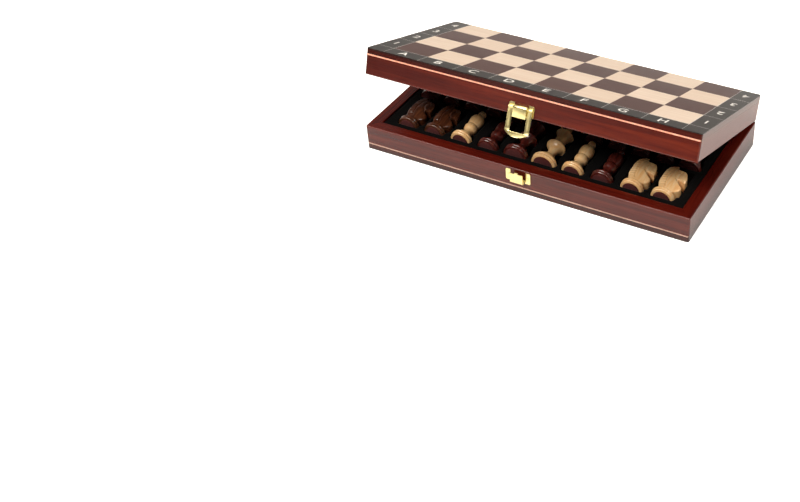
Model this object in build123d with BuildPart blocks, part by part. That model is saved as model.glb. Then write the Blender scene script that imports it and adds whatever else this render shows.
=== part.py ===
from build123d import *

import os
from dataclasses import dataclass
from math import sqrt

# Folding chess box: two shallow mitred trays hinged along their backs, with a brass clasp in front.
# The outer faces of the trays are the two halves of the playing board. The lower tray holds a foam
# insert with the thirty-two men lying in it, and the upper tray is the lid, standing ajar.
# Millimetres, +Z up, +Y from the clasp towards the hinges, origin at the centre of the underside.

os.makedirs("parts", exist_ok=True)

# Playing board
field = 30.0
files = 8
ranks = 4
border = 15.0
veneer = 0.6
veneer_joint = 0.1

# Tray
half_height = 21.0
wall = 9.5
lip = 3.5
panel_thickness = 4.4
panel_fit = 0.2
corner_radius = 1.6
rim_radius = 1.0
inner_rim_radius = 0.5
string_height = 5.0
string_width = 1.1
string_depth = 1.0

# Opening of the lid
closed_gap = 0.3
lid_opening = 18.4

# Butt hinges
hinge_spacing = 160.0
leaf_length = 20.0
leaf_width = 8.0
leaf_thickness = 0.9
leaf_fit = 0.1
knuckle_radius = 1.5
knuckle_clearance = 0.3
barrel_gap = 0.15
pin_radius = 0.6
pin_clearance = 0.1
screw_spacing = 12.0
screw_setback = 5.0
screw_head_radius = 1.4
screw_radius = 0.7
screw_length = 6.0

# Clasp
clasp_width = 20.4
clasp_corner = 1.0
clasp_thickness = 0.7
fold_gap = 2.4
tongue_relief = 0.4
hasp_setback = 0.3
hasp_height = 8.9
hasp_fold = 6.3
tongue_width = 10.8
tongue_overhang = 0.7
catch_setback = 1.1
catch_height = 9.6
catch_fold = 9.1
catch_notch = 12.4
catch_notch_depth = 6.9
hook_width = 10.6
hook_drop = 2.1
nib_width = 2.6
nib_height = 1.1
loop_width = 19.4
loop_arm = 3.7
loop_thickness = 0.9
loop_bar_radius = 1.0
loop_eye_radius = 1.1
loop_mouth = 17.9
loop_sag = 3.4
loop_swing = 6.0
loop_curl = 2.6
loop_curl_start = 14.0
nail_spacing = 16.2
nail_radius = 0.5
nail_length = 5.0
nail_head_radius = 0.9
nail_head = 0.35
hasp_nail_height = 3.0
catch_nail_drop = 5.9

# Lining and men
lining_fit = 0.3
insert_drop = 1.0
liner_thickness = 6.0
pocket_fit = 0.3
pocket_floor = 2.85
lie_angle = 5.0
felt_thickness = 0.6
felt_margin = 2.3
front_pitch = 23.7
front_margin = 7.0
rear_pitch = 19.4
rear_offset = 33.5
row_gap = 1.2

# Derived sizes
length = files * field + 2 * border
depth = ranks * field + border
panel_top = veneer + panel_thickness
closed_height = 2 * half_height + closed_gap
hinge_y = (depth + closed_gap) / 2
hinge_height = half_height + closed_gap / 2
hinge_centres = (-hinge_spacing / 2, hinge_spacing / 2)
screw_head_depth = screw_head_radius - screw_radius
inner_length = length - 2 * wall
inner_depth = depth - 2 * wall
insert_top = half_height - insert_drop
fold_axis = clasp_thickness + fold_gap / 2


@dataclass
class Man:
    """Turned sizes of one kind of chessman, measured from its foot."""

    height: float
    radius: float
    foot: float
    skirt: float
    skirt_radius: float
    neck: float
    neck_radius: float
    trough_radius: float


pawn = Man(29.1, 7.65, 3.4, 8.0, 4.4, 16.4, 2.6, 5.6)
rook = Man(33.6, 8.85, 3.8, 9.6, 5.6, 20.0, 3.9, 6.8)
knight = Man(35.1, 8.85, 4.0, 5.2, 5.8, 6.0, 5.4, 7.6)
bishop = Man(38.4, 8.85, 4.0, 8.2, 4.9, 11.6, 4.0, 6.6)
queen = Man(44.1, 10.15, 4.2, 9.2, 5.2, 14.0, 3.4, 8.2)
king = Man(47.1, 10.15, 4.2, 9.2, 5.2, 14.0, 3.4, 8.2)

foot_bead = 0.6
bead_step = 0.2
foot_cove = 1.4
skirt_bulge = 0.8

pawn_collar_radius = 4.4
pawn_collar = 1.7
pawn_head_radius = 4.6

rook_head_radius = 6.0
rook_head_height = 8.0
rook_cup_radius = 3.9
rook_cup_depth = 3.2
rook_notch = 1.8
rook_notch_depth = 2.4

knight_thickness = 9.4
knight_crest_thickness = 5.0
knight_cheek_height = 20.0
knight_edge = 0.8
knight_back = (
    (-4.6, 3.0),
    (-5.7, 7.6),
    (-8.2, 11.5),
    (-9.1, 21.0),
    (-7.9, 30.6),
    (-3.6, 34.5),
    (-0.4, 35.1),
)
knight_face = ((0.2, 32.4), (2.4, 31.2), (6.6, 30.2), (9.4, 26.0), (10.9, 18.6), (10.2, 14.6))
knight_throat = (3.1, 20.1)
knight_chest = ((9.0, 13.4), (10.6, 11.0), (9.6, 8.0), (6.4, 6.2), (5.6, 3.0))

bishop_ring_radius = 5.4
bishop_ring_foot = 13.4
bishop_ring = 6.0
bishop_ring_edge = 4.5
bishop_head_radius = 5.8
bishop_head_height = 26.0
bishop_nape = 2.4
bishop_ball_radius = 3.3
bishop_cut = 1.0
bishop_cut_tilt = 40.0
bishop_cut_height = 29.5

royal_collar_radius = 7.8
royal_collar_height = 22.2
royal_collar = 2.4
royal_neck_radius = 4.6
royal_neck_height = 29.5
crown_radius = 7.3
queen_crown_height = 37.5
queen_ball_radius = 2.6
queen_ball_seat = 1.6
queen_dome_radius = 5.6
dome_bulge = 0.8
king_crown_height = 37.0
king_dome_radius = 5.9
king_cap = 1.4
king_cap_radius = 1.9
king_cap_height = 41.0
cross_width = 5.4
cross_bar = 1.8
cross_arm_drop = 2.6
cross_thickness = 1.8


# Frames of reference. A tray is drawn from its playing face: local z runs from that face to the
# rim and local y from the clasp to the hinges, so that both trays come from the same functions.
base_plane = Plane((0, 0, 0))
hinge_frame = Plane(Location((0, hinge_y, hinge_height), (-lid_opening, 0, 0)))
lid_plane = Plane(
    hinge_frame.from_local_coords((0, -hinge_y, closed_height - hinge_height)),
    x_dir=-hinge_frame.x_dir,
    z_dir=-hinge_frame.z_dir,
)


def placed(plane, x=0.0, y=0.0, z=0.0):
    """The plane's own axes, moved to a point given in its coordinates."""
    return Plane(plane.location * Pos(x, y, z))


def clasp_face(plane, up):
    """Front face of a tray at its rim: local x to the right, y up, z out of the face."""
    rim_point = plane.from_local_coords((0, -depth / 2, half_height))
    return Plane(rim_point, x_dir=(1, 0, 0), z_dir=Vector(1, 0, 0).cross(up))


def side_view(plane):
    """Plane seen from the side: local x is the given plane's outward z, and y is its y."""
    return Plane(plane.origin, x_dir=plane.z_dir, z_dir=-plane.x_dir)


hasp_plane = clasp_face(lid_plane, -lid_plane.z_dir)
catch_plane = clasp_face(base_plane, base_plane.z_dir)
loop_plane = Plane(placed(hasp_plane, 0, hasp_fold, fold_axis).location * Rot(-loop_swing, 0, 0))


def save(part, name):
    """Names one finished piece and writes its file."""
    part.label = name
    export_step(part, f"parts/{name}.step")


# Tray rails
def draw_moulding():
    """Section of a rail in the open sketch: outer face on the y axis, rim up, string groove cut."""
    with BuildLine() as outline:
        Polyline(
            (0, half_height - rim_radius),
            (0, veneer),
            (lip, veneer),
            (lip, panel_top),
            (wall, panel_top),
            (wall, half_height - inner_rim_radius),
        )
        inner_corner = (wall - inner_rim_radius, half_height)
        TangentArc((wall, half_height - inner_rim_radius), inner_corner, tangent=(0, 1))
        Line(inner_corner, (rim_radius, half_height))
        TangentArc((rim_radius, half_height), (0, half_height - rim_radius), tangent=(-1, 0))
    make_face(outline.edges())
    with Locations((string_depth / 2, string_height)):
        Rectangle(string_depth, string_width, mode=Mode.SUBTRACT)


def draw_mitre(run, reach):
    """Plan of one rail in the open sketch, cut at forty-five degrees at both ends."""
    with BuildLine() as outline:
        Polyline(
            (-run / 2, -reach / 2),
            (run / 2, -reach / 2),
            (run / 2 - wall, -reach / 2 + wall),
            (-run / 2 + wall, -reach / 2 + wall),
            close=True,
        )
    make_face(outline.edges())


def rail(plane, turn, run, reach):
    """One mitred rail. The turn brings its side round to the front of the tray."""
    side = Plane(plane.location * Rot(0, 0, turn))
    end = side.from_local_coords((-run / 2, -reach / 2, 0))
    with BuildPart() as piece:
        with BuildSketch(Plane(end, x_dir=side.y_dir, z_dir=side.x_dir)):
            draw_moulding()
        extrude(amount=run)
        with BuildSketch(side):
            draw_mitre(run, reach)
        extrude(amount=half_height, mode=Mode.INTERSECT)
        with BuildSketch(plane):
            RectangleRounded(length, depth, corner_radius)
        extrude(amount=half_height, mode=Mode.INTERSECT)
    return piece


def knuckle_plane(plane, x):
    """Centre of a hinge's pin: local z along the pin, local x towards the back."""
    centre = plane.from_local_coords((x, hinge_y, hinge_height))
    return Plane(centre, x_dir=plane.y_dir, z_dir=plane.x_dir)


def hinge_seats(plane):
    """Room that one tray's back rail gives its two hinges: leaf beds, knuckles and screws."""
    with BuildPart() as seats:
        for x in hinge_centres:
            with BuildSketch(placed(plane, x, hinge_y - leaf_width / 2, half_height)):
                Rectangle(leaf_length + 2 * leaf_fit, leaf_width + 2 * leaf_fit)
            extrude(amount=-leaf_thickness)
            with BuildSketch(knuckle_plane(plane, x)):
                Circle(knuckle_radius + knuckle_clearance)
            extrude(amount=leaf_length / 2 + knuckle_clearance, both=True)
            with BuildSketch(placed(plane, x, hinge_y - screw_setback, half_height)):
                with GridLocations(screw_spacing, 0, 2, 1):
                    Circle(screw_radius)
            extrude(amount=-screw_length)
    return seats


def nail_shanks(face, height):
    """The pair of nails that hold a clasp plate, without their heads."""
    with BuildPart() as shanks:
        with BuildSketch(placed(face, 0, height, clasp_thickness)):
            with GridLocations(nail_spacing, 0, 2, 1):
                Circle(nail_radius)
        extrude(amount=-nail_length)
    return shanks


def tray(plane, name, clasp_nails):
    """Four mitred rails, the panel in their rebate, and the inlaid light string."""
    sides = {
        "front": (0, length, depth),
        "right": (90, depth, length),
        "back": (180, length, depth),
        "left": (270, depth, length),
    }
    seats = {"front": clasp_nails, "back": hinge_seats(plane)}
    for side, (turn, run, reach) in sides.items():
        piece = rail(plane, turn, run, reach)
        if side in seats:
            with piece:
                add(seats[side].part, mode=Mode.SUBTRACT)
        save(piece.part, f"{name}_{side}_rail")

    with BuildPart() as panel:
        with BuildSketch(plane.offset(veneer)):
            Rectangle(length - 2 * (lip + panel_fit), depth - 2 * (lip + panel_fit))
        extrude(amount=panel_thickness)
    save(panel.part, f"{name}_board_panel")

    with BuildPart() as string:
        with BuildSketch(plane.offset(string_height - string_width / 2)):
            RectangleRounded(length, depth, corner_radius)
            Rectangle(length - 2 * string_depth, depth - 2 * string_depth, mode=Mode.SUBTRACT)
        extrude(amount=string_width)
    save(string.part, f"{name}_inlaid_string")


# Playing face
def squares(plane, parity):
    """Sixteen veneer squares of one colour on one half of the board."""
    centres = [
        ((column - (files - 1) / 2) * field, (row + 0.5) * field - depth / 2 + border)
        for column in range(files)
        for row in range(ranks)
        if (column + row) % 2 == parity
    ]
    with BuildPart() as leaves:
        with BuildSketch(plane):
            with Locations(*centres):
                Rectangle(field - veneer_joint, field - veneer_joint)
        extrude(amount=veneer)
    return leaves


def playing_face(plane, name):
    """Dark and light squares, with the black border round three sides of them."""
    save(squares(plane, 1).part, f"{name}_dark_squares")
    save(squares(plane, 0).part, f"{name}_light_squares")
    with BuildPart() as surround:
        with BuildSketch(plane):
            RectangleRounded(length, depth, corner_radius)
            with Locations((0, border / 2)):
                Rectangle(files * field + veneer_joint, ranks * field + veneer_joint,
                          mode=Mode.SUBTRACT)
        extrude(amount=veneer)
    save(surround.part, f"{name}_border_veneer")


# Hinges
def hinge_leaf(plane, x, barrels):
    """One brass leaf, let in flush with the rim, with its barrels given as (start, end)."""
    knuckle = knuckle_plane(plane, x)
    neck = knuckle_radius + knuckle_clearance + leaf_fit
    with BuildPart() as leaf:
        with BuildSketch(placed(plane, x, hinge_y - leaf_width / 2, half_height)):
            Rectangle(leaf_length, leaf_width)
        extrude(amount=-leaf_thickness)
        with BuildSketch(knuckle):
            Circle(knuckle_radius + knuckle_clearance)
        extrude(amount=leaf_length, both=True, mode=Mode.SUBTRACT)
        for start, end in barrels:
            with BuildSketch(placed(plane, x + (start + end) / 2, hinge_y - neck / 2, half_height)):
                Rectangle(end - start, neck)
            extrude(amount=-leaf_thickness)
            with BuildSketch(knuckle.offset(start)):
                Circle(knuckle_radius)
            extrude(amount=end - start)
        with BuildSketch(knuckle):
            Circle(pin_radius + pin_clearance)
        extrude(amount=leaf_length, both=True, mode=Mode.SUBTRACT)
        with Locations(placed(plane, x, hinge_y - screw_setback, half_height)):
            with GridLocations(screw_spacing, 0, 2, 1):
                CounterSinkHole(screw_radius, screw_head_radius, leaf_length, 90)
    return leaf


def hinge_screws(plane):
    """Countersunk wood screws through the leaves of both hinges on one tray."""
    top_down = (Align.CENTER, Align.CENTER, Align.MAX)
    with BuildPart() as screws:
        for x in hinge_centres:
            with Locations(placed(plane, x, hinge_y - screw_setback, half_height)):
                with GridLocations(screw_spacing, 0, 2, 1):
                    Cylinder(screw_radius, screw_length, align=top_down)
                    Cone(screw_radius, screw_head_radius, screw_head_depth, align=top_down)
    return screws


def hinges():
    """Two butt hinges: the lower leaf has the outer barrels and the upper one the middle."""
    third = leaf_length / 3
    outer = ((-leaf_length / 2, -third / 2 - barrel_gap), (third / 2 + barrel_gap, leaf_length / 2))
    middle = ((-third / 2 + barrel_gap, third / 2 - barrel_gap),)
    for side, x in zip(("left", "right"), hinge_centres):
        save(hinge_leaf(base_plane, x, outer).part, f"base_hinge_leaf_{side}")
        save(hinge_leaf(lid_plane, -x, middle).part, f"lid_hinge_leaf_{side}")
    with BuildPart() as pins:
        for x in hinge_centres:
            with BuildSketch(knuckle_plane(base_plane, x)):
                Circle(pin_radius)
            extrude(amount=leaf_length / 2, both=True)
    save(pins.part, "hinge_pins")
    save(hinge_screws(base_plane).part, "base_hinge_screws")
    save(hinge_screws(lid_plane).part, "lid_hinge_screws")


# Clasp
def draw_fold(foot, axis, tip):
    """Centre line of a strip that leaves a plate at foot, turns over at axis and ends at tip."""
    sheet = clasp_thickness / 2
    bend = fold_gap / 2 + sheet
    turn = bend if axis > foot else -bend
    Line((sheet, foot), (sheet, axis))
    ThreePointArc((sheet, axis), (fold_axis, axis + turn), (fold_axis + bend, axis))
    Line((fold_axis + bend, axis), (fold_axis + bend, tip))


def nail_heads(face, height):
    """Domed heads of the pair of nails of a clasp plate."""
    with BuildPart() as heads:
        with BuildSketch(placed(face, 0, height, clasp_thickness)):
            with GridLocations(nail_spacing, 0, 2, 1):
                Circle(nail_head_radius)
        extrude(amount=nail_head)
        outward = Axis(face.origin, face.z_dir)
        fillet(heads.edges().filter_by(GeomType.CIRCLE).sort_by(outward)[-2:], nail_head / 2)
    return heads


def hasp_plate():
    """Plate on the lid, whose middle tongue is folded down over the bar of the loop."""
    top = hasp_setback + hasp_height
    with BuildPart() as plate:
        with BuildSketch(hasp_plane):
            with Locations((0, hasp_setback + hasp_height / 2)):
                RectangleRounded(clasp_width, hasp_height, clasp_corner)
            with Locations((0, top)):
                Rectangle(tongue_width + 2 * tongue_relief, 2 * (top - hasp_fold),
                          mode=Mode.SUBTRACT)
        extrude(amount=clasp_thickness)
        with BuildSketch(side_view(hasp_plane)):
            with BuildLine():
                draw_fold(hasp_setback + clasp_corner, hasp_fold, -tongue_overhang)
            trace(line_width=clasp_thickness)
        extrude(amount=tongue_width / 2, both=True)
        add(nail_shanks(hasp_plane, hasp_nail_height).part, mode=Mode.SUBTRACT)
    return plate


def catch_plate():
    """Plate on the base, whose middle strip is folded up into a hook with a nib on its tip."""
    bottom = -catch_setback - catch_height
    with BuildPart() as plate:
        with BuildSketch(catch_plane):
            with Locations((0, -catch_setback - catch_height / 2)):
                RectangleRounded(clasp_width, catch_height, clasp_corner)
            with Locations((0, -catch_setback)):
                Rectangle(catch_notch, 2 * catch_notch_depth, mode=Mode.SUBTRACT)
            with Locations((0, bottom)):
                Rectangle(hook_width + 2 * tongue_relief, -2 * (bottom + catch_fold),
                          mode=Mode.SUBTRACT)
        extrude(amount=clasp_thickness)
        with BuildSketch(side_view(catch_plane)):
            with BuildLine():
                draw_fold(-catch_setback - catch_notch_depth, -catch_fold, -hook_drop)
            trace(line_width=clasp_thickness)
        extrude(amount=hook_width / 2, both=True)
        hook_face = placed(catch_plane, 0, -hook_drop, fold_axis + fold_gap / 2)
        with BuildSketch(hook_face):
            Rectangle(nib_width, 2 * nib_height)
        extrude(amount=clasp_thickness)
        add(nail_shanks(catch_plane, -catch_nail_drop).part, mode=Mode.SUBTRACT)
    return plate


def hasp_loop():
    """Loop that hangs from its bar in the tongue, with its lower end curled out as a finger lift."""
    reach = loop_mouth + loop_sag
    curl_start = (0, -loop_curl_start)
    profile_plane = side_view(loop_plane)
    with BuildPart() as loop:
        with BuildSketch(profile_plane):
            with BuildLine():
                Line((0, 0), curl_start)
                TangentArc(curl_start, (loop_curl, -reach - loop_thickness), tangent=(0, -1))
            trace(line_width=loop_thickness)
            Circle(loop_eye_radius)
        extrude(amount=loop_width / 2, both=True)
        with BuildSketch(loop_plane):
            with BuildLine():
                Polyline(
                    (-loop_width / 2, -loop_mouth),
                    (-loop_width / 2, loop_eye_radius),
                    (loop_width / 2, loop_eye_radius),
                    (loop_width / 2, -loop_mouth),
                )
                ThreePointArc(
                    (loop_width / 2, -loop_mouth), (0, -reach), (-loop_width / 2, -loop_mouth)
                )
            make_face()
            with Locations((0, 0)):
                Rectangle(loop_width - 2 * loop_arm, 2 * loop_mouth, mode=Mode.SUBTRACT)
        extrude(amount=reach, both=True, mode=Mode.INTERSECT)
        with BuildSketch(profile_plane):
            Circle(loop_bar_radius)
        extrude(amount=loop_width / 2, both=True)
    return loop


def clasp():
    """The two nailed plates and the loop between them."""
    save(hasp_plate().part, "hasp_plate")
    save(catch_plate().part, "catch_plate")
    save(hasp_loop().part, "hasp_loop")
    for name, face, height in (
        ("hasp_nails", hasp_plane, hasp_nail_height),
        ("catch_nails", catch_plane, -catch_nail_drop),
    ):
        with BuildPart() as nails:
            add(nail_shanks(face, height).part)
            add(nail_heads(face, height).part)
        save(nails.part, name)


# Chessmen. A man is drawn lying down: its profile is a half section with the radius along the
# spot's x and the height, from the foot, along its y.
def draw_ring(start_radius, end_radius, edge_radius, height, thickness):
    """Turned ring with a round edge, from the shaft below it to the shaft above it."""
    shoulder = edge_radius - thickness / 2
    Line((start_radius, height), (shoulder, height))
    ThreePointArc(
        (shoulder, height),
        (edge_radius, height + thickness / 2),
        (shoulder, height + thickness),
    )
    Line((shoulder, height + thickness), (end_radius, height + thickness))


def draw_ball(start_radius, ball_radius, top):
    """Ball on a shaft, ending at the top of the man; returns the height where it starts."""
    centre = top - ball_radius
    start = (start_radius, centre - sqrt(ball_radius**2 - start_radius**2))
    ThreePointArc(start, (ball_radius, centre), (0, top))
    return start


def draw_pedestal(man):
    """Foot of two beads, domed skirt and hollow stem up to the neck."""
    edge = man.radius - foot_bead
    crease = man.foot / 2
    skirt_foot = (edge - foot_cove, man.foot)
    skirt_top = (man.skirt_radius, man.skirt)
    neck = (man.neck_radius, man.neck)
    Line((0, man.neck), (0, 0))
    Line((0, 0), (edge, 0))
    ThreePointArc((edge, 0), (man.radius - bead_step, crease / 2), (edge, crease))
    ThreePointArc((edge, crease), (man.radius, 3 * crease / 2), (edge, man.foot))
    Line((edge, man.foot), skirt_foot)
    SagittaArc(skirt_foot, skirt_top, -skirt_bulge)
    TangentArc(neck, skirt_top, tangent=(0, -1))


def draw_pawn():
    """Ring under a ball."""
    draw_pedestal(pawn)
    draw_ring(pawn.neck_radius, pawn.neck_radius, pawn_collar_radius, pawn.neck, pawn_collar)
    start = draw_ball(pawn.neck_radius, pawn_head_radius, pawn.height)
    Line((pawn.neck_radius, pawn.neck + pawn_collar), start)
    Line((0, pawn.height), (0, pawn.neck))


def draw_rook():
    """Flared neck under a cupped tower."""
    draw_pedestal(rook)
    tower = (rook_head_radius, rook.height - rook_head_height)
    TangentArc((rook.neck_radius, rook.neck), tower, tangent=(0, 1))
    Polyline(
        tower,
        (rook_head_radius, rook.height),
        (rook_cup_radius, rook.height),
        (rook_cup_radius, rook.height - rook_cup_depth),
        (0, rook.height - rook_cup_depth),
        (0, rook.neck),
    )


def draw_bishop():
    """Broad round ring, egg-shaped mitre and ball."""
    draw_pedestal(bishop)
    ring_foot = (bishop_ring_edge, bishop_ring_foot)
    ring_top = (bishop_ring_edge, bishop_ring_foot + bishop_ring)
    TangentArc((bishop.neck_radius, bishop.neck), ring_foot, tangent=(0, 1))
    ThreePointArc(ring_foot, (bishop_ring_radius, bishop_ring_foot + bishop_ring / 2), ring_top)
    widest = (bishop_head_radius, bishop_head_height)
    TangentArc(widest, ring_top, tangent=(0, -1))
    nape = draw_ball(bishop_nape, bishop_ball_radius, bishop.height)
    TangentArc(widest, nape, tangent=(0, 1))
    Line((0, bishop.height), (0, bishop.neck))


def draw_royal_body(man, crown_height):
    """Bell-shaped ring, hollow neck and flaring crown, shared by the king and the queen."""
    draw_pedestal(man)
    ring_foot = royal_collar_height - royal_collar / 2
    shoulder = royal_collar_radius - royal_collar / 2
    waist = (royal_neck_radius, royal_neck_height)
    TangentArc((man.neck_radius, man.neck), (shoulder, ring_foot), tangent=(0, 1))
    ThreePointArc(
        (shoulder, ring_foot),
        (royal_collar_radius, royal_collar_height),
        (shoulder, ring_foot + royal_collar),
    )
    TangentArc(waist, (shoulder, ring_foot + royal_collar), tangent=(0, -1))
    TangentArc(waist, (crown_radius, crown_height), tangent=(0, 1))


def draw_queen():
    """Domed crown with a small ball."""
    draw_royal_body(queen, queen_crown_height)
    Line((crown_radius, queen_crown_height), (queen_dome_radius, queen_crown_height))
    start = draw_ball(queen_ball_seat, queen_ball_radius, queen.height)
    SagittaArc((queen_dome_radius, queen_crown_height), start, -dome_bulge)
    Line((0, queen.height), (0, queen.neck))


def draw_king():
    """Domed crown with a flat cap for the cross."""
    draw_royal_body(king, king_crown_height)
    Line((crown_radius, king_crown_height), (king_dome_radius, king_crown_height))
    cap_foot = (king_cap_radius, king_cap_height - king_cap)
    SagittaArc((king_dome_radius, king_crown_height), cap_foot, -dome_bulge)
    Polyline(
        cap_foot,
        (king_cap_radius, king_cap_height),
        (0, king_cap_height),
        (0, king.neck),
    )


def draw_knight_stand():
    """Pedestal that the carved horse stands on."""
    draw_pedestal(knight)
    Line((knight.neck_radius, knight.neck), (0, knight.neck))


def turned(spots, draw):
    """Men of one kind as they come off the lathe, one on each spot."""
    with BuildPart() as men:
        for spot in spots:
            with BuildSketch(spot):
                with BuildLine():
                    draw()
                make_face()
            revolve(axis=Axis(spot.origin, spot.y_dir))
    return men


def pawns(spots):
    """Pawns need nothing after turning."""
    return turned(spots, draw_pawn)


def queens(spots):
    """Queens need nothing after turning."""
    return turned(spots, draw_queen)


def rooks(spots):
    """Rooks get three crossing slots, which leave six battlements."""
    with turned(spots, draw_rook) as men:
        for spot in spots:
            top = spot.from_local_coords((0, rook.height, 0))
            with BuildSketch(Plane(top, x_dir=spot.x_dir, z_dir=spot.y_dir)) as slots:
                with PolarLocations(0, 3, 0, 180):
                    Rectangle(3 * rook_head_radius, rook_notch)
            extrude(slots.sketch, amount=-rook_notch_depth, mode=Mode.SUBTRACT)
    return men


def bishops(spots):
    """Bishops get one slanting saw cut into the mitre."""
    with turned(spots, draw_bishop) as men:
        for spot in spots:
            slant = spot.location * Pos(0, bishop_cut_height, 0) * Rot(0, 0, bishop_cut_tilt)
            with BuildSketch(Plane(slant)) as kerf:
                Rectangle(2 * bishop_head_radius, bishop_cut, align=(Align.MIN, Align.CENTER))
            extrude(kerf.sketch, amount=bishop_head_radius, both=True, mode=Mode.SUBTRACT)
    return men


def kings(spots):
    """Kings get a flat cross standing on the cap."""
    cross_height = king.height - king_cap_height
    with turned(spots, draw_king) as men:
        for spot in spots:
            with BuildSketch(placed(spot, 0, king_cap_height)) as cross:
                Rectangle(cross_bar, cross_height, align=(Align.CENTER, Align.MIN))
                with Locations((0, cross_height - cross_arm_drop)):
                    Rectangle(cross_width, cross_bar)
            extrude(cross.sketch, amount=cross_thickness / 2, both=True)
    return men


def horse_head(spot):
    """Flat carved head with chamfered edges, growing thinner towards the ears."""
    with BuildPart() as head:
        with BuildSketch(spot):
            with BuildLine():
                Spline(*knight_back)
                Line(knight_back[-1], knight_face[0])
                Spline(*knight_face)
                Polyline(knight_face[-1], knight_throat, knight_chest[0])
                Spline(*knight_chest)
                Line(knight_chest[-1], knight_back[0])
            make_face()
        extrude(amount=knight_thickness / 2, both=True)
        cheeks = head.faces().filter_by(Axis(spot.origin, spot.z_dir))
        chamfer(cheeks.edges(), knight_edge)
        with BuildSketch(side_view(spot)):
            with BuildLine():
                Polyline(
                    (-knight_thickness / 2, 0),
                    (-knight_thickness / 2, knight_cheek_height),
                    (-knight_crest_thickness / 2, knight.height),
                    (knight_crest_thickness / 2, knight.height),
                    (knight_thickness / 2, knight_cheek_height),
                    (knight_thickness / 2, 0),
                    close=True,
                )
            make_face()
        extrude(amount=knight.height, both=True, mode=Mode.INTERSECT)
    return head


def knights(spots):
    """Knights get a horse's head on a short turned pedestal."""
    with turned(spots, draw_knight_stand) as men:
        for spot in spots:
            add(horse_head(spot).part)
    return men


makers = {
    "king": (kings, king),
    "queen": (queens, queen),
    "bishop": (bishops, bishop),
    "knight": (knights, knight),
    "rook": (rooks, rook),
    "pawn": (pawns, pawn),
}


# Lining. The men lie with their feet towards the clasp and their heads a little higher. Behind the
# mixed front row come the dark rooks and pawns, and then the light ones.
def packing():
    """Spots of all the men, by colour and kind, from left to right."""
    row_step = row_gap + 2 * pocket_fit + felt_thickness
    seat_height = panel_top + pocket_floor + max(man.radius for make, man in makers.values())
    front_y = -inner_depth / 2 + front_margin
    middle_y = front_y + bishop.height + row_step
    queen_y = front_y + king.height + row_step
    front_row = (
        "dark_knight",
        "dark_knight",
        "light_bishop",
        "dark_bishop",
        "dark_king",
        "light_king",
        "light_bishop",
        "dark_bishop",
        "light_knight",
        "light_knight",
    )
    men = [
        (name, (column - (len(front_row) - 1) / 2) * front_pitch, front_y)
        for column, name in enumerate(front_row)
    ]
    middle_row = ("pawn", "pawn", "pawn", "pawn", "rook")
    back_row = ("rook", "pawn", "pawn", "pawn", "pawn")
    for colour, side in (("dark", -1), ("light", 1)):
        men.append((f"{colour}_queen", side * front_pitch / 2, queen_y))
        for column, (middle, behind) in enumerate(zip(middle_row, back_row)):
            x = side * (rear_offset + column * rear_pitch)
            men.append((f"dark_{middle}", x, middle_y))
            men.append((f"light_{behind}", x, middle_y + makers[middle][1].height + row_step))
    spots = {}
    for name, x, y in sorted(men, key=lambda man: man[1]):
        lying = Plane(Location((x, y, seat_height), (lie_angle, 0, 0)))
        spots.setdefault(name, []).append(lying)
    return spots


def kind_of(name):
    """Sizes of the kind of man in a name such as dark_pawn."""
    return makers[name.split("_")[1]][1]


def draw_trough(man):
    """Half outline of a man's pocket in the open sketch: wide at the foot, narrower beyond it."""
    foot_end = -felt_thickness - pocket_fit
    trough_end = (man.neck if man is knight else man.height) + pocket_fit
    with BuildLine() as outline:
        Polyline(
            (0, foot_end),
            (man.radius + pocket_fit, foot_end),
            (man.radius + pocket_fit, man.foot + pocket_fit),
            (man.trough_radius + pocket_fit, man.skirt),
            (man.trough_radius + pocket_fit, trough_end),
            (0, trough_end),
            close=True,
        )
    make_face(outline.edges())


def pocket(spot, man):
    """Pocket for one lying man, rounded under the man and straight-sided above it."""
    with BuildPart() as hollow:
        with BuildSketch(spot):
            draw_trough(man)
        revolve(axis=Axis(spot.origin, spot.y_dir))
        with BuildSketch(spot):
            draw_trough(man)
            mirror(about=Plane.YZ)
        extrude(amount=man.radius)
        if man is knight:
            muzzle = max(x for x, y in knight_face) + pocket_fit
            mane = min(x for x, y in knight_back) - pocket_fit
            with BuildSketch(placed(spot, (muzzle + mane) / 2, man.foot)):
                Rectangle(muzzle - mane, man.height + pocket_fit - man.foot,
                          align=(Align.CENTER, Align.MIN))
            extrude(amount=knight_thickness / 2 + pocket_fit, both=True)
    return hollow


def lining(spots):
    """Foam insert with its pockets in the base, foam pad in the lid, felts under the men."""
    with BuildPart() as insert:
        with BuildSketch(base_plane.offset(panel_top)):
            Rectangle(inner_length - 2 * lining_fit, inner_depth - 2 * lining_fit)
        extrude(amount=insert_top - panel_top)
        for name, places in spots.items():
            for spot in places:
                add(pocket(spot, kind_of(name)).part, mode=Mode.SUBTRACT)
    save(insert.part, "base_insert")

    with BuildPart() as liner:
        with BuildSketch(lid_plane.offset(panel_top)):
            Rectangle(inner_length - 2 * lining_fit, inner_depth - 2 * lining_fit)
        extrude(amount=liner_thickness)
    save(liner.part, "lid_liner")

    with BuildPart() as felts:
        for name, places in spots.items():
            for spot in places:
                with BuildSketch(Plane(spot.origin, x_dir=spot.x_dir, z_dir=spot.y_dir)):
                    Circle(kind_of(name).radius - felt_margin)
                extrude(amount=-felt_thickness)
    save(felts.part, "piece_felts")


def chessmen(spots):
    """Each man is its own file, except the pawns, which share one for each colour."""
    for name, places in spots.items():
        make = makers[name.split("_")[1]][0]
        if kind_of(name) is pawn:
            save(make(places).part, f"{name}s")
        elif len(places) == 1:
            save(make(places).part, name)
        else:
            for side, spot in zip(("left", "right"), places):
                save(make([spot]).part, f"{name}_{side}")


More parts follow.
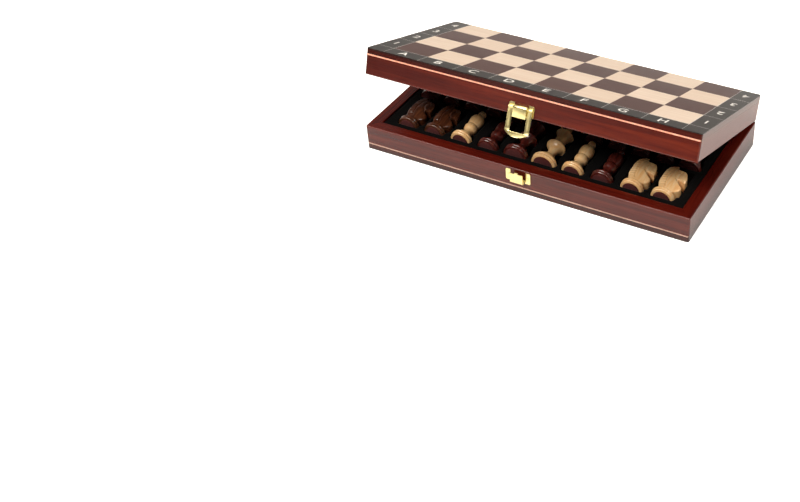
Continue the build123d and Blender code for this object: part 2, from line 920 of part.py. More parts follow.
for tray_plane, tray_name, tray_nails in (
    (base_plane, "base", nail_shanks(catch_plane, -catch_nail_drop)),
    (lid_plane, "lid", nail_shanks(hasp_plane, hasp_nail_height)),
):
    tray(tray_plane, tray_name, tray_nails)
    playing_face(tray_plane, tray_name)
hinges()
clasp()
men_spots = packing()
lining(men_spots)
chessmen(men_spots)
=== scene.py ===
import math

import bpy
from mathutils import Matrix, Vector


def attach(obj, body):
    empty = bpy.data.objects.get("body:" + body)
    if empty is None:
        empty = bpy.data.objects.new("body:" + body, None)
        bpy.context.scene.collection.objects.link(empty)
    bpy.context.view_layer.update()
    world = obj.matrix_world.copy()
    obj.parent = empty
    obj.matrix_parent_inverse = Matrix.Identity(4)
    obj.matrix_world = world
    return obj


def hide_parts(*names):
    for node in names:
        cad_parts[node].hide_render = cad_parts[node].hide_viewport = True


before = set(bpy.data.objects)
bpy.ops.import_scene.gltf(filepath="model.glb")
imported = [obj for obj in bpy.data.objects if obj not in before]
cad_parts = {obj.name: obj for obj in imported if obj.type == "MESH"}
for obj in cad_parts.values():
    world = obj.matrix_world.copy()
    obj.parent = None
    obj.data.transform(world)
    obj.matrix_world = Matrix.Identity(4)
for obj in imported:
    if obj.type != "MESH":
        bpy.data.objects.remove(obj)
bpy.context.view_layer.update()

# Folding chess box that stands ajar: two trays of lacquered mahogany, a veneered board on their outer
# faces, a brass clasp, and turned men in black foam. Metres, +Z up, +Y from the clasp to the hinges.
scene = bpy.context.scene

# Camera: a long lens to the right of the clasp, looking down on the box. The focal length, and the
# point where the lens's axis meets the picture, are in pixels of a picture of 800 by 502.
picture_width, picture_height = 800, 502
focal_length, axis_x, axis_y = 1230.1, 510.4, 196.9
sensor_width = 36
azimuth, elevation, roll = math.radians(29.91), math.radians(37.21), math.radians(-2.45)
lens = bpy.data.cameras.new("catalogue_camera")
lens.sensor_width = sensor_width
lens.lens = focal_length * sensor_width / picture_width
lens.shift_x = -(axis_x - picture_width / 2) / picture_width
lens.shift_y = (axis_y - picture_height / 2) / picture_width
camera = bpy.data.objects.new("catalogue_camera", lens)
scene.collection.objects.link(camera)
camera.location = (0.3597, -0.7059, 0.5525)
back = Vector((
    math.sin(azimuth) * math.cos(elevation),
    -math.cos(azimuth) * math.cos(elevation),
    math.sin(elevation),
))
camera.rotation_mode = "QUATERNION"
camera.rotation_quaternion = (
    (-back).to_track_quat("-Z", "Y") @ Matrix.Rotation(roll, 3, "Z").to_quaternion()
)
scene.camera = camera
scene.view_settings.view_transform = "Standard"


# Studio: a table of white paper, lit by a high soft box in front, with weaker ones overhead and at
# the right. The room behind the lamps is dim, and dimmest in front, so that lacquer keeps its depth.
def linear(code):
    """Linear RGBA of an sRGB hex colour."""
    channels = [int(code[i:i + 2], 16) / 255 for i in (1, 3, 5)]
    return [c / 12.92 if c <= 0.04045 else ((c + 0.055) / 1.055) ** 2.4 for c in channels] + [1.0]


def feed(tree, made, inputs):
    """Feeds a node's inputs, by name or number, with sockets, numbers or hex colours."""
    for key, value in inputs.items():
        if isinstance(value, bpy.types.NodeSocket):
            tree.links.new(value, made.inputs[key])
        elif isinstance(value, str):
            made.inputs[key].default_value = linear(value)
        else:
            made.inputs[key].default_value = value


def node(tree, kind, inputs=None, stops=(), **settings):
    """Adds one node with its settings and inputs; stops are a ramp's (position, hex colour)."""
    made = tree.nodes.new(kind)
    for key, value in settings.items():
        setattr(made, key, value)
    feed(tree, made, inputs or {})
    while stops and len(made.color_ramp.elements) < len(stops):
        made.color_ramp.elements.new(0.5)
    for number, (position, code) in enumerate(stops):
        made.color_ramp.elements[number].position = position
        made.color_ramp.elements[number].color = linear(code)
    return made


def new_material(name):
    """New material; returns it with its node tree and its shader."""
    material = bpy.data.materials.new(name)
    material.use_nodes = True
    tree = material.node_tree
    return material, tree, tree.nodes["Principled BSDF"]


table_size = 1.5
# clear of the printing on the underside of the box
table_gap = 0.0001
bpy.ops.object.select_all(action="DESELECT")
bpy.ops.mesh.primitive_plane_add(size=table_size, location=(0, 0, -table_gap))
table = bpy.context.active_object
table.name = "studio_table"

# Matt paper, lit through: the eye sees one white from the table to the background, with a breath of
# shadow under the box. In lacquer and brass it is seen at less than half that strength.
paper_seen_direct, paper_seen_in_gloss = 0.80, 0.33
paper, tree, matt = new_material("white_studio_paper")
feed(tree, matt, {"Base Color": "#f4f1ec", "Roughness": 1.0})
seen = node(tree, "ShaderNodeLightPath")
strength = node(tree, "ShaderNodeMapRange", {
    "Value": seen.outputs["Is Camera Ray"],
    "To Min": paper_seen_in_gloss, "To Max": paper_seen_direct})
glow = node(tree, "ShaderNodeEmission", {"Color": "#ffffff", "Strength": strength.outputs[0]})
both = node(tree, "ShaderNodeAddShader", {0: matt.outputs[0], 1: glow.outputs[0]})
feed(tree, tree.nodes["Material Output"], {"Surface": both.outputs[0]})
table.data.materials.append(paper)

# the lamps' and the room's linear colour, and how bright the room is in front and behind
warm_white = (1.0, 0.93, 0.86, 1.0)
front_wall, back_wall = 0.02, 0.24
room = bpy.data.worlds.new("studio_room")
room.use_nodes = True
scene.world = room
tree = room.node_tree
tree.nodes.clear()
way = node(tree, "ShaderNodeTexCoord")
axes = node(tree, "ShaderNodeSeparateXYZ", {"Vector": way.outputs["Generated"]})
dim = node(tree, "ShaderNodeMapRange", {
    "Value": axes.outputs["Y"], "From Min": -1.0, "From Max": 1.0,
    "To Min": front_wall, "To Max": back_wall})
walls = node(tree, "ShaderNodeBackground", {"Color": warm_white, "Strength": dim.outputs[0]})
white = node(tree, "ShaderNodeBackground", {"Color": "#ffffff", "Strength": 1.0})
seen = node(tree, "ShaderNodeLightPath")
choice = node(tree, "ShaderNodeMixShader", {
    "Fac": seen.outputs["Is Camera Ray"], 1: walls.outputs[0], 2: white.outputs[0]})
node(tree, "ShaderNodeOutputWorld", {"Surface": choice.outputs[0]})


def soft_box(name, place, width, height, watts):
    """Warm white soft box at a place, aimed at the chess box."""
    light = bpy.data.lights.new(name, "AREA")
    light.shape = "RECTANGLE"
    light.size = width
    light.size_y = height
    light.energy = watts
    light.color = warm_white[:3]
    lamp = bpy.data.objects.new(name, light)
    scene.collection.objects.link(lamp)
    lamp.location = place
    lamp.rotation_mode = "QUATERNION"
    lamp.rotation_quaternion = (-Vector(place)).to_track_quat("-Z", "Y")


soft_box("front_soft_box", (-0.45, -0.92, 1.20), width=1.2, height=0.30, watts=20)
soft_box("overhead_soft_box", (-0.15, 0.25, 1.40), width=1.0, height=1.0, watts=11)
soft_box("right_soft_box", (1.05, -0.20, 1.30), width=0.7, height=0.5, watts=10)
# a small card where the clasp mirrors it, too weak to light the wood
soft_box("clasp_card", (-0.51, -1.25, 0.26), width=0.30, height=0.20, watts=0.32)

# Rails: each tray is a frame of four hardwood rails, mitred and glued, stained mahogany and sprayed
# with satin lacquer. The lid turns on the hinge line, and is drawn as it stands open.
lid_opening = math.radians(18.4)
hinge_line = Vector((0, 0.06765, 0.02115))
tilts = {"base": 0.0, "lid": -lid_opening}
shut_height = 0.0423
board_length = 0.270


def tray_space(tree, tray):
    """Position in metres as it is when the box is shut, so that the lid's grain keeps its lines."""
    here = node(tree, "ShaderNodeTexCoord")
    # moved so that the hinge is at the origin, turned shut, and moved back
    hinge = hinge_line if tray == "lid" else Vector((0, 0, 0))
    about_hinge = node(tree, "ShaderNodeMapping", {
        "Vector": here.outputs["Object"], "Location": tuple(-hinge)}, vector_type="POINT")
    shut = node(tree, "ShaderNodeMapping", {
        "Vector": about_hinge.outputs[0], "Rotation": (tilts[tray], 0, 0)}, vector_type="TEXTURE")
    return node(tree, "ShaderNodeMapping", {
        "Vector": shut.outputs[0], "Location": tuple(hinge)}, vector_type="POINT").outputs[0]


def dress(name, material):
    """Gives a CAD node whose shape is right its full material."""
    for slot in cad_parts[name].material_slots:
        slot.material = material


stains = {
    "base": [(0.30, "#450e0a"), (0.50, "#52130b"), (0.72, "#631d10")],
    "lid": [(0.30, "#4a1109"), (0.50, "#5a170a"), (0.72, "#6d220f")],
}
# the lid's rails are drawn lighter and redder towards their right end
colour_drift = {"base": 0.0, "lid": 0.13}
pore_strength = 0.32
# depth below the face down to which the rails are drawn darker, and where the string begins
edge_ends = (0.0044, 0.0046)
# a colour mix's inputs and output, by number because their names are shared
mix_share, mix_under, mix_over, mixed = 0, 6, 7, 2


# Stained wood gives the eye a red-brown depth with fine dark streaks along the rail, and satin
# lacquer lays a broad, soft reflection of the white table over it.
def lacquered_mahogany(tray, run, cell):
    """Mahogany-stained hardwood under satin lacquer; the cell is the size of its grain."""
    material, tree, shader = new_material(f"satin_lacquered_mahogany_{tray}_{run}")
    place = tray_space(tree, tray)
    axes = node(tree, "ShaderNodeSeparateXYZ", {"Vector": place})
    grain = node(tree, "ShaderNodeMapping", {"Vector": place, "Scale": cell},
                 vector_type="TEXTURE")
    # in cells 2.2 mm wide, the redder and browner bands are 5 mm wide and the pores 0.5 mm apart
    bands = node(tree, "ShaderNodeTexNoise", {
        "Vector": grain.outputs[0], "Scale": 0.45,
        "Detail": 3.0, "Roughness": 0.5, "Distortion": 0.5})
    pores = node(tree, "ShaderNodeTexNoise", {
        "Vector": grain.outputs[0], "Scale": 4.0, "Detail": 3.0, "Roughness": 0.65})
    drift = node(tree, "ShaderNodeMapRange", {
        "Value": axes.outputs["X"], "From Min": -board_length / 2, "From Max": board_length / 2,
        "To Min": -colour_drift[tray], "To Max": colour_drift[tray]})
    tone = node(tree, "ShaderNodeMath", {0: bands.outputs["Fac"], 1: drift.outputs[0]},
                operation="ADD")
    stain = node(tree, "ShaderNodeValToRGB", {"Fac": tone.outputs[0]}, stops=stains[tray])
    pore = node(tree, "ShaderNodeValToRGB", {"Fac": pores.outputs["Fac"]},
                stops=[(0.34, "#6a4a46"), (0.52, "#ffffff")])
    wood = node(tree, "ShaderNodeMix", {
        mix_share: pore_strength,
        mix_under: stain.outputs["Color"], mix_over: pore.outputs["Color"]},
        data_type="RGBA", blend_type="MULTIPLY")
    if tray == "base":
        first, last = edge_ends
    else:
        first, last = (shut_height - depth for depth in edge_ends)
    edge = node(tree, "ShaderNodeMapRange", {
        "Value": axes.outputs["Z"], "From Min": first, "From Max": last,
        "To Min": 1.0, "To Max": 0.0})
    edged = node(tree, "ShaderNodeMix", {
        mix_share: edge.outputs[0], mix_under: wood.outputs[mixed], mix_over: "#b8a898"},
        data_type="RGBA", blend_type="MULTIPLY")
    relief = node(tree, "ShaderNodeBump", {
        "Height": pores.outputs["Fac"], "Strength": 0.10, "Distance": 0.00005})
    feed(tree, shader, {
        "Base Color": edged.outputs[mixed], "Roughness": 0.24, "Normal": relief.outputs[0]})
    return material


grain_length, grain_width = 0.060, 0.0022
for tray in tilts:
    along_x = lacquered_mahogany(tray, "long", (grain_length, grain_width, grain_width))
    along_y = lacquered_mahogany(tray, "end", (grain_width, grain_length, grain_width))
    for side, wood in (("front", along_x), ("back", along_x), ("left", along_y), ("right", along_y)):
        dress(f"{tray}_{side}_rail", wood)

# Inlaid string: a line of holly stained peach, glued in a groove round each tray and lacquered over
# with the rails. It draws a thin bright line round the box, and is browner round the two ends.
string_tones = {"base": ("#b28a78", "#c8a290"), "lid": ("#f7a488", "#fdbba0")}
fleck_size = 0.00385
# a point this far from the middle is on an end of the box
end_begins, end_full = board_length / 2 - 0.0008, board_length / 2 - 0.0004
for tray, (dark, light) in string_tones.items():
    string, tree, shader = new_material(f"lacquered_holly_string_{tray}")
    place = tray_space(tree, tray)
    flecks = node(tree, "ShaderNodeTexNoise", {
        "Vector": place, "Scale": 1 / fleck_size, "Detail": 2.0})
    tint = node(tree, "ShaderNodeValToRGB", {"Fac": flecks.outputs["Fac"]},
                stops=[(0.3, dark), (0.7, light)])
    axes = node(tree, "ShaderNodeSeparateXYZ", {"Vector": place})
    off_middle = node(tree, "ShaderNodeMath", {0: axes.outputs["X"]}, operation="ABSOLUTE")
    on_end = node(tree, "ShaderNodeMapRange", {
        "Value": off_middle.outputs[0], "From Min": end_begins, "From Max": end_full})
    browned = node(tree, "ShaderNodeMix", {
        mix_share: on_end.outputs[0], mix_under: tint.outputs["Color"], mix_over: "#6c6658"},
        data_type="RGBA", blend_type="MULTIPLY")
    feed(tree, shader, {"Base Color": browned.outputs[mixed], "Roughness": 0.26})
    dress(f"{tray}_inlaid_string", string)

# Board: squares of maple and mahogany veneer with a black-dyed border on three sides, pressed on a
# birch panel that is glued in the rails' rebate. One coat of satin lacquer covers them.
square, border = 0.030, 0.015
# the figure runs from side to side of the board in long fine streaks
figure_length, figure_width = 0.045, 0.0014
leaf_contrast = 0.16
tone_places = (0.35, 0.58, 0.80)
veneers = {
    "dark_squares": ("mahogany_veneer", ("#3a140c", "#431a10", "#4c2013"), 0.30),
    "light_squares": ("maple_veneer", ("#d8c0a8", "#dfcab4", "#e6d3be"), 0.30),
    "border_veneer": ("black_dyed_veneer", ("#130f0c", "#1a1512", "#231d19"), 0.30),
    "board_panel": ("birch_panel", ("#b08a5c", "#bc986b", "#c6a57a"), 0.5),
}


# Sliced veneer with its pores filled looks almost plain: a faint streak, a smooth low shine, and a
# small change of shade from one square to the next.
def veneer(kind, tray, tones, roughness):
    """Sliced veneer with its tones from dark to light."""
    material, tree, shader = new_material(f"{kind}_{tray}")
    place = tray_space(tree, tray)
    grain = node(tree, "ShaderNodeMapping", {
        "Vector": place, "Scale": (figure_length, figure_width, figure_width)},
        vector_type="TEXTURE")
    figure = node(tree, "ShaderNodeTexNoise", {
        "Vector": grain.outputs[0], "Scale": 1.0,
        "Detail": 5.0, "Roughness": 0.6, "Distortion": 0.3})
    # each square is cut from its own leaf, a shade lighter or darker than its neighbours
    centred = node(tree, "ShaderNodeMapping", {
        "Vector": place, "Location": (square / 2, border / 2, 0)}, vector_type="POINT")
    leaf = node(tree, "ShaderNodeTexVoronoi", {
        "Vector": centred.outputs[0], "Scale": 1 / square, "Randomness": 0.0})
    shade = node(tree, "ShaderNodeSeparateXYZ", {"Vector": leaf.outputs["Color"]})
    tone = node(tree, "ShaderNodeMath", {
        0: shade.outputs["X"], 1: leaf_contrast, 2: figure.outputs["Fac"]},
        operation="MULTIPLY_ADD")
    colour = node(tree, "ShaderNodeValToRGB", {"Fac": tone.outputs[0]},
                  stops=list(zip(tone_places, tones)))
    feed(tree, shader, {"Base Color": colour.outputs["Color"], "Roughness": roughness})
    return material


for tray in tilts:
    for part, (kind, tones, roughness) in veneers.items():
        dress(f"{tray}_{part}", veneer(kind, tray, tones, roughness))

# Printing: white ink screened on the black border, hairlines round each cell and one letter or
# number to a cell. The coat is thin and stands hardly proud of the veneer.
ink_height = 0.00003
ink_thickness = 0.00005
letter_height, letter_shift = 0.0078, 0.0015
# a capital's height in a font of size 1, and how far the wet ink spreads
capital_share, ink_spread = 0.73, 0.00014
hairline, edge_stop = 0.00022, 0.0004
# the lines lie a little lower than the letters
line_height = 0.8 * ink_height
board_depth = 0.135

# each board is drawn as its face is seen from outside, with the clasp side down
swing = (
    Matrix.Translation(hinge_line)
    @ Matrix.Rotation(-lid_opening, 4, "X")
    @ Matrix.Translation(-hinge_line)
)
faces = {
    "base": Matrix(((-1, 0, 0, 0), (0, 1, 0, 0), (0, 0, -1, 0), (0, 0, 0, 1))),
    "lid": swing @ Matrix.Translation((0, 0, shut_height)),
}

# The ink is a plain off-white with little gloss, a little greyer where it sank into the pores, in
# patches drawn 1.1 mm across because real pores are too fine to show.
patch_size = 0.00111
ink, tree, shader = new_material("white_screen_printing_ink")
here = node(tree, "ShaderNodeTexCoord")
patches = node(tree, "ShaderNodeTexNoise", {
    "Vector": here.outputs["Object"], "Scale": 1 / patch_size, "Detail": 2.0})
cover = node(tree, "ShaderNodeValToRGB", {"Fac": patches.outputs["Fac"]},
             stops=[(0.32, "#cfccc4"), (0.55, "#f2f0ea")])
feed(tree, shader, {"Base Color": cover.outputs["Color"], "Roughness": 0.35})


def settle(piece, body, material):
    """Bakes a new piece's place into its mesh, and gives it its material and body."""
    bpy.ops.object.select_all(action="DESELECT")
    piece.select_set(True)
    bpy.context.view_layer.objects.active = piece
    bpy.ops.object.transform_apply(location=True, rotation=True, scale=True)
    piece.data.materials.clear()
    piece.data.materials.append(material)
    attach(piece, body)


def print_letter(word, tray, x, y, turn=0.0):
    """Prints one letter or number, its middle at a point of the face."""
    bpy.ops.object.select_all(action="DESELECT")
    bpy.ops.object.text_add(location=(0, 0, 0))
    text = bpy.context.active_object
    text.data.body = word
    text.data.size = letter_height / capital_share
    text.data.align_x = "CENTER"
    text.data.align_y = "CENTER"
    text.data.offset = ink_spread
    text.data.extrude = ink_thickness / 2
    text.data.resolution_u = 6
    bpy.ops.object.convert(target="MESH")
    letter = bpy.context.active_object
    letter.name = f"{tray}_letter_{word}_{'right' if x > 0 else 'left'}"
    letter.matrix_world = (
        faces[tray]
        @ Matrix.Translation((x, y, ink_height - ink_thickness / 2))
        @ Matrix.Rotation(turn, 4, "Z")
    )
    settle(letter, tray, ink)


for tray, row, numbers in (("lid", "ABCDEFGH", "1234"), ("base", "HGFEDCBA", "8765")):
    middle = (len(row) - 1) / 2
    for column, word in enumerate(row):
        x = (column - middle) * square - letter_shift
        print_letter(word, tray, x, (border - board_depth) / 2)
    for rank, word in enumerate(numbers):
        y = border - board_depth / 2 + (rank + 0.5) * square
        print_letter(word, tray, (border - board_length) / 2, y)
        print_letter(word, tray, (board_length - border) / 2, y, turn=math.pi)


def apply(piece, kind, **settings):
    """Adds one modifier and applies it."""
    modifier = piece.modifiers.new(kind.lower(), kind)
    for key, value in settings.items():
        setattr(modifier, key, value)
    bpy.context.view_layer.objects.active = piece
    bpy.ops.object.modifier_apply(modifier=modifier.name)


def print_hairlines(tray):
    """Prints all hairlines of one tray's border as one piece."""
    front, side = -board_depth / 2, board_length / 2
    # each strip is its middle's x and y, its width and its height: first the seven lines between the
    # eight files, then the three between the four ranks, at both ends
    strips = [
        (column * square, front + (border + edge_stop) / 2, hairline, border - edge_stop)
        for column in range(-3, 4)
    ]
    for rank in range(1, 4):
        y = front + border + rank * square
        for sign in (-1, 1):
            x = sign * (side - (border + edge_stop) / 2)
            strips.append((x, y, border - edge_stop, hairline))
    # the lines along the squares run on to the edges and close the corner cells
    strips.append((0, front + border, board_length - 2 * edge_stop, hairline))
    for sign in (-1, 1):
        strips.append((sign * (side - border), edge_stop / 2, hairline, board_depth - edge_stop))
    bpy.ops.object.select_all(action="DESELECT")
    made = []
    for x, y, width, height in strips:
        bpy.ops.mesh.primitive_plane_add(size=1, location=(x, y, 0))
        strip = bpy.context.active_object
        strip.scale = (width, height, 1)
        made.append(strip)
    for strip in made:
        strip.select_set(True)
    bpy.ops.object.transform_apply(location=True, rotation=True, scale=True)
    bpy.ops.object.join()
    lines = bpy.context.active_object
    apply(lines, "SOLIDIFY", thickness=ink_thickness, offset=-1)
    lines.name = f"{tray}_printed_hairlines"
    lines.matrix_world = faces[tray] @ Matrix.Translation((0, 0, line_height))
    settle(lines, tray, ink)


for tray in tilts:
    print_hairlines(tray)

# Clasp and hinges: stamped from sheet brass, the clasp with its edges rolled off, then bright dipped
# and lacquered. The clasp's plates are nailed on, and the hinge leaves are screwed to the back rails.
rolled_edge = 0.00015
corner_angle = math.radians(35)
flat_angle = math.radians(1)
smooth_angle = math.radians(40)

# Dipped brass is a pale, soft-edged yellow: a metal that mirrors the room through a slight haze in
# patches of 1.4 mm, on a sheet that is not quite flat.
haze_size, ripple_size = 0.00143, 0.00417
brass, tree, shader = new_material("bright_dipped_brass")
here = node(tree, "ShaderNodeTexCoord")
haze = node(tree, "ShaderNodeTexNoise", {
    "Vector": here.outputs["Object"], "Scale": 1 / haze_size, "Detail": 3.0})
ripple = node(tree, "ShaderNodeTexNoise", {
    "Vector": here.outputs["Object"], "Scale": 1 / ripple_size, "Detail": 1.0})
dull = node(tree, "ShaderNodeMapRange", {
    "Value": haze.outputs["Fac"], "To Min": 0.26, "To Max": 0.31})
tone = node(tree, "ShaderNodeValToRGB", {"Fac": haze.outputs["Fac"]},
            stops=[(0.35, "#f6e69e"), (0.65, "#fbedb0")])
waves = node(tree, "ShaderNodeBump", {
    "Height": ripple.outputs["Fac"], "Strength": 0.03, "Distance": 0.0002})
feed(tree, shader, {
    "Base Color": tone.outputs["Color"], "Metallic": 1.0,
    "Roughness": dull.outputs[0], "Normal": waves.outputs[0]})


def copy_of(name, source):
    """New piece that stands for a CAD node and starts as a merged copy of its mesh."""
    piece = bpy.data.objects.new(name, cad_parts[source].data.copy())
    scene.collection.objects.link(piece)
    bpy.ops.object.select_all(action="DESELECT")
    piece.select_set(True)
    bpy.context.view_layer.objects.active = piece
    bpy.ops.object.mode_set(mode="EDIT")
    bpy.ops.mesh.select_all(action="SELECT")
    bpy.ops.mesh.remove_doubles(threshold=0.00001)
    bpy.ops.object.mode_set(mode="OBJECT")
    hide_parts(source)
    return piece


def softened(name, source, radius):
    """Copy of a cut or stamped CAD node with its edges rounded."""
    piece = copy_of(name, source)
    bpy.ops.object.mode_set(mode="EDIT")
    bpy.ops.mesh.select_all(action="SELECT")
    bpy.ops.mesh.dissolve_limited(angle_limit=flat_angle)
    bpy.ops.object.mode_set(mode="OBJECT")
    apply(piece, "BEVEL", width=radius, segments=2, limit_method="ANGLE", angle_limit=corner_angle)
    bpy.ops.object.shade_smooth_by_angle(angle=smooth_angle)
    return piece


for source, body in (
    ("hasp_plate", "lid"), ("hasp_nails", "lid"), ("catch_plate", "base"),
    ("catch_nails", "base"), ("hasp_loop", "hasp_loop"),
):
    settle(softened(f"{source}_brass", source, rolled_edge), body, brass)
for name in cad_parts:
    if "hinge" in name:
        dress(name, brass)

# Foam insert and lid pad: soft black foam, its pockets hot-pressed to the shape of the men and its
# whole face flocked. The insert is glued in the base, and the pad inside the lid.
fibre_spacing = 0.0004
# the nap is brushed this way and that in patches of 17 mm
brushed_size = 0.0167

# Flock swallows nearly all light: a deep black with no gloss, and only its rolled edges show a grey
# nap. Its fibres are drawn 0.4 mm apart, coarser than real ones, so that they show.
flock, tree, shader = new_material("black_flocked_foam")
here = node(tree, "ShaderNodeTexCoord")
fibres = node(tree, "ShaderNodeTexNoise", {
    "Vector": here.outputs["Object"], "Scale": 1 / fibre_spacing,
    "Detail": 3.0, "Roughness": 0.7})
brushed = node(tree, "ShaderNodeTexNoise", {
    "Vector": here.outputs["Object"], "Scale": 1 / brushed_size, "Detail": 2.0})
nap = node(tree, "ShaderNodeValToRGB", {"Fac": fibres.outputs["Fac"]},
           stops=[(0.3, "#020202"), (0.7, "#0c0b0b")])
black = node(tree, "ShaderNodeMix", {
    mix_share: brushed.outputs["Fac"], mix_under: nap.outputs["Color"], mix_over: "#9a9a9a"},
    data_type="RGBA", blend_type="MULTIPLY")
pile = node(tree, "ShaderNodeBump", {
    "Height": fibres.outputs["Fac"], "Strength": 0.5, "Distance": 0.0003})
feed(tree, shader, {
    "Base Color": black.outputs[mixed], "Roughness": 1.0, "Specular IOR Level": 0.06,
    "Sheen Weight": 0.02, "Sheen Roughness": 0.6, "Normal": pile.outputs[0]})


def pressed_foam(name, source, body, voxel, rounds):
    """Foam block with its edges rounded as the press leaves them."""
    foam = copy_of(name, source)
    apply(foam, "REMESH", mode="VOXEL", voxel_size=voxel)
    apply(foam, "SMOOTH", factor=0.5, iterations=rounds)
    bpy.ops.object.shade_smooth()
    settle(foam, body, flock)


pressed_foam("foam_insert", "base_insert", "base", voxel=0.0011, rounds=2)
pressed_foam("foam_lid_pad", "lid_liner", "lid", voxel=0.0015, rounds=3)

# Men: turned on a lathe from boxwood, half of them stained as dark as rosewood, then dipped in gloss
# lacquer. They lie loose in the pockets of the foam.
streak_length, streak_width = 0.024, 0.0020
turned_places = (0.30, 0.5, 0.72)


# Dipped wood shows the eye two things at once: a warm, slightly streaked body and a thin clear coat
# with small sharp glints on every bead.
def turned_wood(name, tones, gloss, roughness):
    """Fine-grained turned wood under clear lacquer, with its tones from dark to light."""
    material, tree, shader = new_material(name)
    here = node(tree, "ShaderNodeTexCoord")
    cell = node(tree, "ShaderNodeMapping", {
        "Vector": here.outputs["Object"], "Scale": (streak_width, streak_length, streak_width)},
        vector_type="TEXTURE")
    figure = node(tree, "ShaderNodeTexNoise", {
        "Vector": cell.outputs[0], "Scale": 1.0,
        "Detail": 4.0, "Roughness": 0.55, "Distortion": 0.6})
    tone = node(tree, "ShaderNodeValToRGB", {"Fac": figure.outputs["Fac"]},
                stops=list(zip(turned_places, tones)))
    feed(tree, shader, {
        "Base Color": tone.outputs["Color"], "Roughness": roughness,
        "Coat Weight": gloss, "Coat Roughness": 0.06})
    return material


boxwood = turned_wood("lacquered_boxwood", ("#f4bb7c", "#facb8d", "#feddac"), 0.9, 0.38)
rosewood = turned_wood("lacquered_rosewood", ("#3a120e", "#521d17", "#6c2e24"), 1.0, 0.30)
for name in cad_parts:
    if name.startswith("light_"):
        dress(name, boxwood)
    elif name.startswith("dark_"):
        dress(name, rosewood)

# Knights: a turned foot with a flat horse's head on it, sawn to profile and carved by hand. A gouge
# cuts the mane, jaw, mouth, nostril and eye, and a saw the throat and the kerf between the ears.
# each knight's pocket in the front row, counted from the left
knight_columns = {
    "dark_knight_left": 0, "dark_knight_right": 1, "light_knight_left": 8, "light_knight_right": 9,
}
pocket_pitch, middle_column = 0.0237, 4.5
front_row_y, seat_height, lie_angle = -0.051, 0.018, math.radians(5.0)
blank_voxel = 0.00036
# the saw's wedge: where its middle is on the blank, its turn, and its length, mouth and depth
throat_place, throat_turn = (0.0086, 0.0168, 0), math.radians(-34)
throat_size = (0.0120, 0.0046, 0.02)

# the carving is in millimetres on the profile: x to the muzzle, y up from the foot, z through it
carved_from, smoothed_from = 6, 6.5
# the mane's side is drawn in by a share that grows up the neck and fades towards the ears
mane_narrowing, narrowing_rise, narrowing_top, narrowing_fade = 0.17, 5, 36, 6
# the gouge works on the two sides, this far from the middle and more
side_begins = 1.2
kerf_foot, kerf_depth, kerf_half_width, kerf_length = 32, 1.6, 0.7, 3
# each stroke is its points, its depth and its half width: mouth, jaw, neck, nostril, eye
strokes = [
    (((10.4, 18.6), (7.4, 19.8)), 0.55, 0.35),
    (((3.6, 20.4), (1.4, 23.6), (1.6, 27.0), (3.4, 29.2)), 0.45, 0.45),
    (((-0.6, 33.6), (-2.6, 29.0), (-3.4, 22.0), (-2.4, 14.0), (-1.2, 10.5)), 0.55, 0.40),
    (((9.3, 21.6), (9.3, 21.8)), 0.60, 0.50),
    (((4.3, 27.6), (4.9, 27.3)), 0.65, 0.55),
]
# the locks of the mane run down and back from the neck
locks, first_lock, lock_pitch = 8, 12.2, 2.7
for lock in range(locks):
    root = first_lock + lock_pitch * lock
    strokes.append((((-3.0, root), (-5.2, root - 0.7), (-8.6, root - 2.6)), 0.5, 0.38))

# The dark knights are browner than the other dark men, which lets the eye read their carving.
walnut = turned_wood("lacquered_walnut", ("#34190e", "#4e2815", "#70442a"), 1.0, 0.30)


def stroke_distance(x, y, points):
    """Distance from a point of the profile to a stroke."""
    nearest = math.inf
    for (ax, ay), (bx, by) in zip(points, points[1:]):
        dx, dy = bx - ax, by - ay
        share = ((x - ax) * dx + (y - ay) * dy) / (dx * dx + dy * dy)
        share = min(1.0, max(0.0, share))
        nearest = min(nearest, math.hypot(x - ax - share * dx, y - ay - share * dy))
    return nearest


def gouged(x, y):
    """Depth of the carving at a point of the profile."""
    cut = 0.0
    for points, depth, half in strokes:
        gap = stroke_distance(x, y, points)
        # further off the hollow has run out
        if gap < 3 * half:
            cut = max(cut, depth * math.exp(-(gap / half) ** 2))
    return cut


def sawn_throat(piece, blank):
    """Cuts the throat with a wedge, a cube whose one end is pinched to an edge."""
    bpy.ops.object.select_all(action="DESELECT")
    bpy.ops.mesh.primitive_cube_add(size=1)
    wedge = bpy.context.active_object
    bpy.ops.object.mode_set(mode="EDIT")
    bpy.ops.mesh.select_all(action="DESELECT")
    bpy.ops.object.mode_set(mode="OBJECT")
    for vertex in wedge.data.vertices:
        vertex.select = vertex.co.x < 0
    bpy.ops.object.mode_set(mode="EDIT")
    bpy.ops.transform.resize(value=(1, 0, 1))
    bpy.ops.object.mode_set(mode="OBJECT")
    wedge.matrix_world = (
        blank @ Matrix.Translation(throat_place) @ Matrix.Rotation(throat_turn, 4, "Z")
        @ Matrix.Diagonal((*throat_size, 1))
    )
    piece.select_set(True)
    apply(piece, "BOOLEAN", operation="DIFFERENCE", object=wedge)
    bpy.data.objects.remove(wedge)


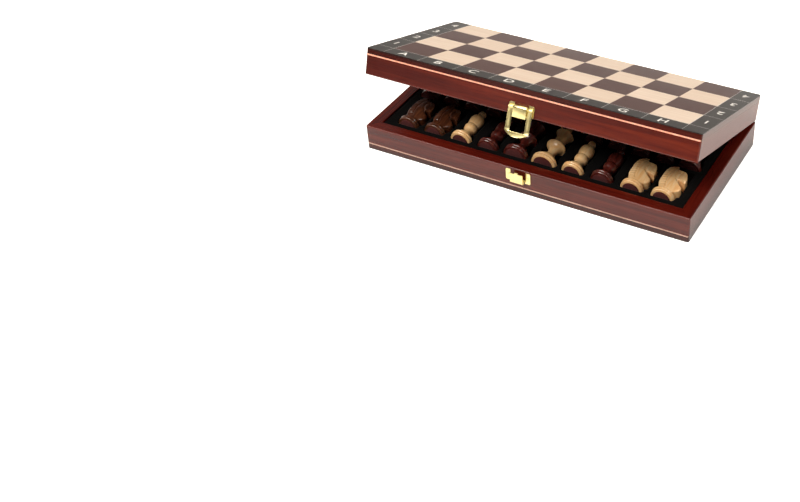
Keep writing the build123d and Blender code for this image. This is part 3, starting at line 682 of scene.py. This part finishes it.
def carved_knight(name, column):
    """The turned and sawn blank with its head carved."""
    place = ((column - middle_column) * pocket_pitch, front_row_y, seat_height)
    blank = Matrix.Translation(place) @ Matrix.Rotation(lie_angle, 4, "X")
    unplaced = blank.inverted()
    piece = copy_of(f"{name}_carved", name)
    sawn_throat(piece, blank)
    apply(piece, "REMESH", mode="VOXEL", voxel_size=blank_voxel)
    # the foot stays as it left the lathe
    head = piece.vertex_groups.new(name="head")
    head.add([v.index for v in piece.data.vertices
              if (unplaced @ v.co).y > smoothed_from / 1000], 1.0, "REPLACE")
    apply(piece, "SMOOTH", factor=0.5, iterations=2, vertex_group="head")
    for vertex in piece.data.vertices:
        x, y, z = (unplaced @ vertex.co) * 1000
        if y > carved_from:
            if x < 0:
                grown = min(1.0, (y - carved_from) / narrowing_rise)
                faded = min(1.0, max(0.0, (narrowing_top - y) / narrowing_fade))
                x *= 1 - mane_narrowing * (grown * faded)
            if abs(z) > side_begins:
                z -= math.copysign(gouged(x, y), z)
            if y > kerf_foot:
                kerf = kerf_depth * math.exp(-(z / kerf_half_width) ** 2)
                y -= kerf * (y - kerf_foot) / kerf_length
            vertex.co = blank @ Vector((x / 1000, y / 1000, z / 1000))
    bpy.ops.object.shade_smooth()
    slot, material = ("light_men", boxwood) if name.startswith("light") else ("dark_men", walnut)
    settle(piece, "base", material)


for name, column in knight_columns.items():
    carved_knight(name, column)

# Felts: a disc of dark red wool felt, punched out and glued under each man's foot. Its cut edge is a
# little soft.
felt_edge = 0.0002
wool_clump = 0.000625

# Felt is dull and even, with no gloss and a faint light fuzz. Its clumps of wool are drawn 0.6 mm
# apart, coarser than real ones, so that they show.
felt, tree, shader = new_material("dark_red_wool_felt")
here = node(tree, "ShaderNodeTexCoord")
wool = node(tree, "ShaderNodeTexNoise", {
    "Vector": here.outputs["Object"], "Scale": 1 / wool_clump, "Detail": 4.0, "Roughness": 0.75})
fluff = node(tree, "ShaderNodeValToRGB", {"Fac": wool.outputs["Fac"]},
             stops=[(0.3, "#340c0c"), (0.7, "#5a1a18")])
matted = node(tree, "ShaderNodeBump", {
    "Height": wool.outputs["Fac"], "Strength": 0.6, "Distance": 0.0003})
feed(tree, shader, {
    "Base Color": fluff.outputs["Color"], "Roughness": 1.0, "Sheen Weight": 0.06,
    "Normal": matted.outputs[0]})
settle(softened("felt_discs", "piece_felts", felt_edge), "base", felt)
